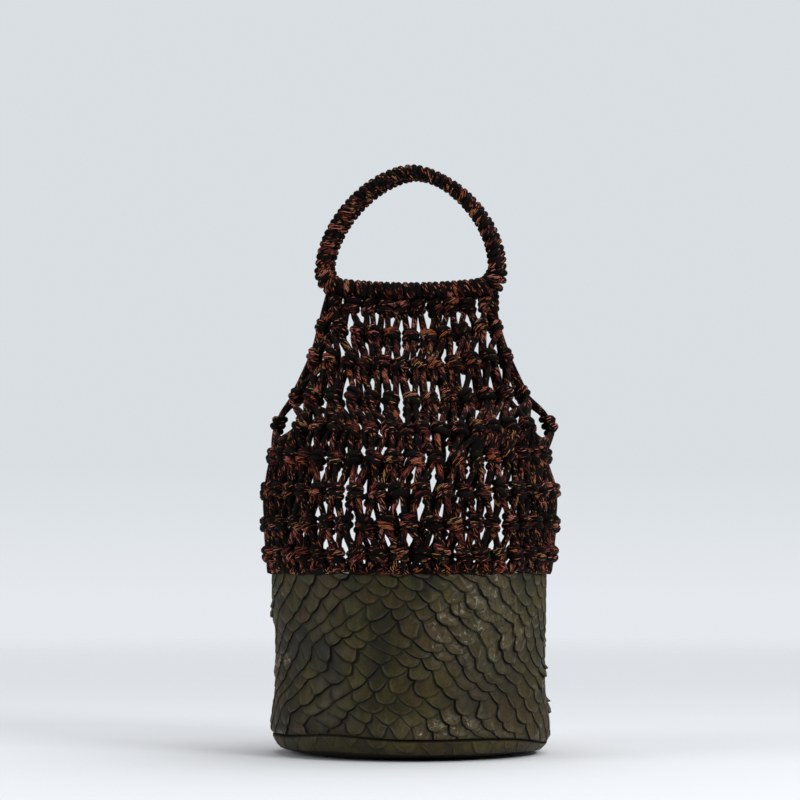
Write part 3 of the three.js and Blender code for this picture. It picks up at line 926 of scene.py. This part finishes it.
def corner_coil():
    """Cord wrapped round under the right end of the bars, where the edge cords start."""
    path = []
    for step in range(COIL_STEPS):
        turned = 2 * math.pi * step / COIL_TURN_STEPS
        x = COIL_X + COIL_HALF_WIDTH * math.cos(turned)
        z = COIL_TOP_Z - COIL_PITCH * step / COIL_TURN_STEPS
        path.append(Vector((x, COIL_HALF_DEPTH * math.sin(turned), z)))
    return path


def smooth_path(path, steps):
    """The same route with rounded bends."""
    points = [path[0], *path, path[-1]]
    smooth = []
    for before, start, end, after in zip(points, points[1:], points[2:], points[3:]):
        for step in range(steps):
            t = step / steps
            smooth.append(0.5 * (
                start * 2 + (end - before) * t
                + (before * 2 - start * 5 + end * 4 - after) * t * t
                + (start * 3 - before - end * 3 + after) * t ** 3
            ))
    return smooth + [path[-1]]


HEADING_STEPS = 240
# Height and number of waves of each sway
HEADING_SWAYS = [(0.0007, 9), (0.0004, 23)]


def heading_cord(radius, height, start):
    """A cord laid round the leather's top edge, which the net's last cords pass over."""
    (slow, slow_waves), (quick, quick_waves) = HEADING_SWAYS
    path = []
    for step in range(HEADING_STEPS + 1):
        turned = 2 * math.pi * step / HEADING_STEPS
        z = height + slow * math.sin(slow_waves * turned + start) + quick * math.sin(quick_waves * turned)
        path.append(Vector((radius * math.sin(turned + start), -radius * math.cos(turned + start), z)))
    return path


def to_back(direction):
    return Vector((direction.x, -direction.y, direction.z))


def knot_at_back(knot):
    """The knot of the back panel that is tied opposite one of the front panel."""
    return {
        "angle": math.pi - knot["angle"],
        "centre": to_back(knot["centre"]),
        "along": -to_back(knot["along"]),
        "up": to_back(knot["up"]),
        "out": to_back(knot["out"]),
        "size": knot["size"],
    }


rows = [knots_of(index) for index in range(FIRST_RING)]
paths = [knot_path(knot) for row in rows for knot in row]
swells = [KNOT_CORD_SWELL] * len(paths)
for upper, lower in zip(rows, rows[1:]):
    paths += legs_between(upper, lower, loop=False)
swells += [PANEL_LEG_SWELL] * (len(paths) - len(swells))
paths += [smooth_path(path, EDGE_BEND_STEPS) for path in edge_cords(rows)]
back_paths = [[to_back(point) for point in path] for path in paths]
paths.append(corner_coil())
for name, routes in (("net_front_panel", paths), ("net_back_panel", back_paths)):
    piece = cord_piece(name, routes, CORD_RADIUS, cord_material, net_draw, swells)
    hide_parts("macrame_net")

# The tube hangs from the last row of both panels, whose knots are found by where they stand round it
rings = [knots_of(index) for index in range(FIRST_RING, HEADING_ROW + 1)]
paths = [knot_path(knot) for row in rings[:-1] for knot in row]
swells = [KNOT_CORD_SWELL] * len(paths)
for knot in rows[-1]:
    knot["angle"] = math.asin(knot["centre"].x / NET_ROWS[FIRST_RING]["half_width"])
panel_ends = rows[-1] + [knot_at_back(knot) for knot in rows[-1]]
paths += legs_between(panel_ends, rings[0], loop=True)
lowest_tied = rings[-2]
for upper, lower in zip(rings, rings[1:]):
    paths += legs_between(upper, lower, loop=True, tripled=lower is lowest_tied)
paths.append(heading_cord(radius=0.0986, height=0.1287, start=0.0))
paths.append(heading_cord(radius=0.0972, height=0.1312, start=2.0))
net_tube = cord_piece("net_tube", paths, CORD_RADIUS, cord_material, net_draw, swells)
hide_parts("macrame_net")

# Handles.
# Two D rings side by side, each wound round and round with the net's cord. The winding is thicker on
# the straight bar, which the net hangs from, and the back ring sits a little to the right.

BAR_Z = 0.329
BAR_SAG = 0.0032
BAR_HALF = 0.0525
BAR_RADIUS = 0.0070
BAR_STEPS = 40
ARCH_RADIUS = 0.0056
ARCH_HALF_WIDTH = 0.0620
ARCH_HEIGHT = 0.0678
ARCH_POWER = 1.7
ARCH_LEAN = 0.0022
ARCH_STEPS = 120
CORNER_WIDTH = 0.010
CORNER_HEIGHT = 0.0195
CORNER_STEPS = 16
CORNER_SWELL = 0.0005
CORNER_SWELL_X = 0.0585
CORNER_SWELL_Z = 0.3365
CORNER_SWELL_REACH = 0.013
FRONT_HANDLE_SHIFT = -0.0008
BACK_HANDLE_SHIFT = 0.0030
RING_HALF_GAP = 0.00025
WINDING_TURNS = 79
WINDING_STEPS = 16
WINDING_CORD_RADIUS = 0.00245
WINDING_SWELL = 0.05
SWELL_RATE = 4.7
WINDING_WANDERS = (0.0004, 0.0003)
WANDER_RATE = 2.3
WANDER_STEPS = 37
handle_draw = random.Random(7)


def corner_point(side, step):
    """A point of the round corner from the bar up to the arch, at the right (1) or the left (-1)."""
    turned = math.pi / 2 * step / CORNER_STEPS
    x = side * (BAR_HALF + CORNER_WIDTH * math.sin(turned))
    z = BAR_Z + CORNER_HEIGHT - (CORNER_HEIGHT - BAR_SAG) * math.cos(turned)
    return Vector((x, 0, z))


def handle_curve():
    """Centre line of a ring: bar, corner, arch and corner, closely stepped."""
    points = []
    for step in range(BAR_STEPS):
        x = BAR_HALF * (2 * step / BAR_STEPS - 1)
        points.append(Vector((x, 0, BAR_Z + BAR_SAG * (x / BAR_HALF) ** 2)))
    points += [corner_point(1, step) for step in range(CORNER_STEPS)]
    for step in range(ARCH_STEPS + 1):
        cosine = math.cos(math.pi * step / ARCH_STEPS)
        sine = math.sin(math.pi * step / ARCH_STEPS)
        x = ARCH_HALF_WIDTH * math.copysign(abs(cosine) ** (2 / ARCH_POWER), cosine) + ARCH_LEAN * sine
        z = BAR_Z + CORNER_HEIGHT + ARCH_HEIGHT * abs(sine) ** (2 / ARCH_POWER)
        points.append(Vector((x, 0, z)))
    points += [corner_point(-1, step) for step in range(CORNER_STEPS - 1, 0, -1)]
    return points


def winding_path(side, shift):
    """The cord's turns round a ring, and the cord's thickness along them."""
    points = handle_curve()
    reach = [0.0]
    for index, point in enumerate(points):
        reach.append(reach[-1] + (points[(index + 1) % len(points)] - point).length)
    steps = WINDING_TURNS * WINDING_STEPS
    slow_wander, quick_wander = WINDING_WANDERS
    path = []
    thickness = []
    place = 0
    for step in range(steps + 1):
        turns = step / WINDING_STEPS
        wander = slow_wander * math.sin(turns * WANDER_RATE + side)
        wander += quick_wander * math.sin(step / WANDER_STEPS)
        wanted = (step / steps * reach[-1] + wander) % reach[-1]
        while reach[place + 1] < wanted:
            place += 1
        while reach[place] > wanted:
            place -= 1
        here = points[place]
        after = points[(place + 1) % len(points)]
        centre = here.lerp(after, (wanted - reach[place]) / (reach[place + 1] - reach[place]))
        tangent = (after - here).normalized()
        inward = Vector((0, 1, 0)).cross(tangent)
        rise = min(1, max(0, (centre.z - BAR_Z - BAR_SAG) / (CORNER_HEIGHT - BAR_SAG)))
        rise = rise * rise * (3 - 2 * rise)
        outer = BAR_RADIUS + (ARCH_RADIUS - BAR_RADIUS) * rise
        from_corner = (abs(centre.x) - CORNER_SWELL_X) ** 2 + (centre.z - CORNER_SWELL_Z) ** 2
        outer += CORNER_SWELL * max(0, 1 - from_corner / CORNER_SWELL_REACH ** 2)
        turned = 2 * math.pi * step / WINDING_STEPS
        swell = 1 + WINDING_SWELL * math.sin(turns * SWELL_RATE + 2 * side)
        arm = outer - WINDING_CORD_RADIUS * swell
        axis = centre + Vector((shift, side * (outer + RING_HALF_GAP), 0))
        path.append(axis + inward * (arm * math.cos(turned)) + Vector((0, arm * math.sin(turned), 0)))
        thickness.append(swell)
    return path, thickness


for label, side, shift in (("front", -1, FRONT_HANDLE_SHIFT), ("back", 1, BACK_HANDLE_SHIFT)):
    path, swell = winding_path(side, shift)
    piece = cord_piece("winding_" + label, [path], WINDING_CORD_RADIUS, cord_material, handle_draw, [swell])
    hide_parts("handle_" + label)

# Studio.
# A pale floor, a pale surround and soft lamps; none of it is part of the bag.

FLOOR_COLOUR = (0.76, 0.78, 0.81, 1)
FLOOR_REACH = 40
FLOOR_CORNERS = 96
FADE_FROM = 0.5
FADE_TO = 3.0
floor_bm = bmesh.new()
bmesh.ops.create_circle(floor_bm, cap_ends=True, radius=FLOOR_REACH, segments=FLOOR_CORNERS)
floor_mesh = bpy.data.meshes.new("floor")
floor_bm.to_mesh(floor_mesh)
floor_bm.free()
floor = add_object("floor", floor_mesh)
floor_material, tree, shader = new_material("pale_floor")
spot = node(tree, "ShaderNodeTexCoord").outputs["Object"]
length = node(tree, "ShaderNodeVectorMath", operation="LENGTH")
tree.links.new(spot, length.inputs[0])
fade = spread(tree, length.outputs["Value"], FADE_FROM, FADE_TO)
shader.inputs["Base Color"].default_value = FLOOR_COLOUR
shader.inputs["Roughness"].default_value = 0.8
shader.inputs["Specular IOR Level"].default_value = 0.2
clear = node(tree, "ShaderNodeBsdfTransparent")
blend = node(tree, "ShaderNodeMixShader")
tree.links.new(fade, blend.inputs[0])
tree.links.new(shader.outputs[0], blend.inputs[1])
tree.links.new(clear.outputs[0], blend.inputs[2])
tree.links.new(blend.outputs[0], tree.nodes["Material Output"].inputs["Surface"])
floor_mesh.materials.append(floor_material)

SURROUND_SEEN = (0.690, 0.735, 0.765, 1)
SURROUND_LOW = (0.790, 0.815, 0.855, 1)
SURROUND_LIGHT = (0.68, 0.69, 0.70, 1)
SURROUND_STRENGTH = 0.24
HORIZON_FROM = -0.01
HORIZON_TO = 0.045
world = bpy.data.worlds.new("pale_surround")
world.use_nodes = True
tree = world.node_tree
background = tree.nodes["Background"]
seen = node(tree, "ShaderNodeLightPath").outputs["Is Camera Ray"]
parts = node(tree, "ShaderNodeSeparateXYZ")
tree.links.new(node(tree, "ShaderNodeTexCoord").outputs["Generated"], parts.inputs[0])
climb = spread(tree, parts.outputs[2], HORIZON_FROM, HORIZON_TO)
backdrop = mixed(tree, climb, SURROUND_LOW, SURROUND_SEEN)
tree.links.new(mixed(tree, seen, SURROUND_LIGHT, backdrop), background.inputs["Color"])
tree.links.new(spread(tree, seen, 0, 1, SURROUND_STRENGTH, 1.0), background.inputs["Strength"])
bpy.context.scene.world = world

LAMPS_AIM = Vector((0, 0, 0.18))
for name, place, width, depth, power in (
    ("key_lamp", (1.29, -1.20, 1.23), 0.75, 0.22, 18),
    ("left_lamp", (-1.9, -0.7, 0.8), 1.2, 1.2, 17),
    ("right_lamp", (1.9, -0.3, 0.6), 1.0, 1.0, 3),
):
    lamp = bpy.data.lights.new(name, "AREA")
    lamp.shape = "RECTANGLE"
    lamp.size = width
    lamp.size_y = depth
    lamp.energy = power
    stand = add_object(name, lamp)
    stand.location = place
    stand.rotation_euler = (LAMPS_AIM - Vector(place)).to_track_quat("-Z", "Y").to_euler()

# One wide even light from above keeps the whole floor pale
SKY_STRENGTH = 2.1
SKY_WIDTH = math.radians(75)
sky = bpy.data.lights.new("overhead", "SUN")
sky.energy = SKY_STRENGTH
sky.angle = SKY_WIDTH
overhead = add_object("overhead", sky)
overhead.rotation_euler = (math.radians(-12), math.radians(14), 0)

# The camera stands at the height of the leather's top edge and looks up slightly
EYE_HEIGHT = 0.127
CAMERA_DISTANCE = 1.68
CAMERA_PITCH = math.radians(4.23)
SENSOR_WIDTH = 36
PHOTO_PIXELS = 800
FOCAL_PIXELS = 2339.6
AXIS_OFFSET_PIXELS = 9.8
camera_data = bpy.data.cameras.new("camera")
camera_data.sensor_fit = "AUTO"
camera_data.sensor_width = SENSOR_WIDTH
camera_data.lens = SENSOR_WIDTH * FOCAL_PIXELS / PHOTO_PIXELS
camera = add_object("camera", camera_data)
side_step = -AXIS_OFFSET_PIXELS / FOCAL_PIXELS * CAMERA_DISTANCE
camera.location = (side_step, -CAMERA_DISTANCE, EYE_HEIGHT)
camera.rotation_euler = (math.pi / 2 + CAMERA_PITCH, 0, 0)
bpy.context.scene.camera = camera
bpy.context.scene.view_settings.view_transform = "Standard"
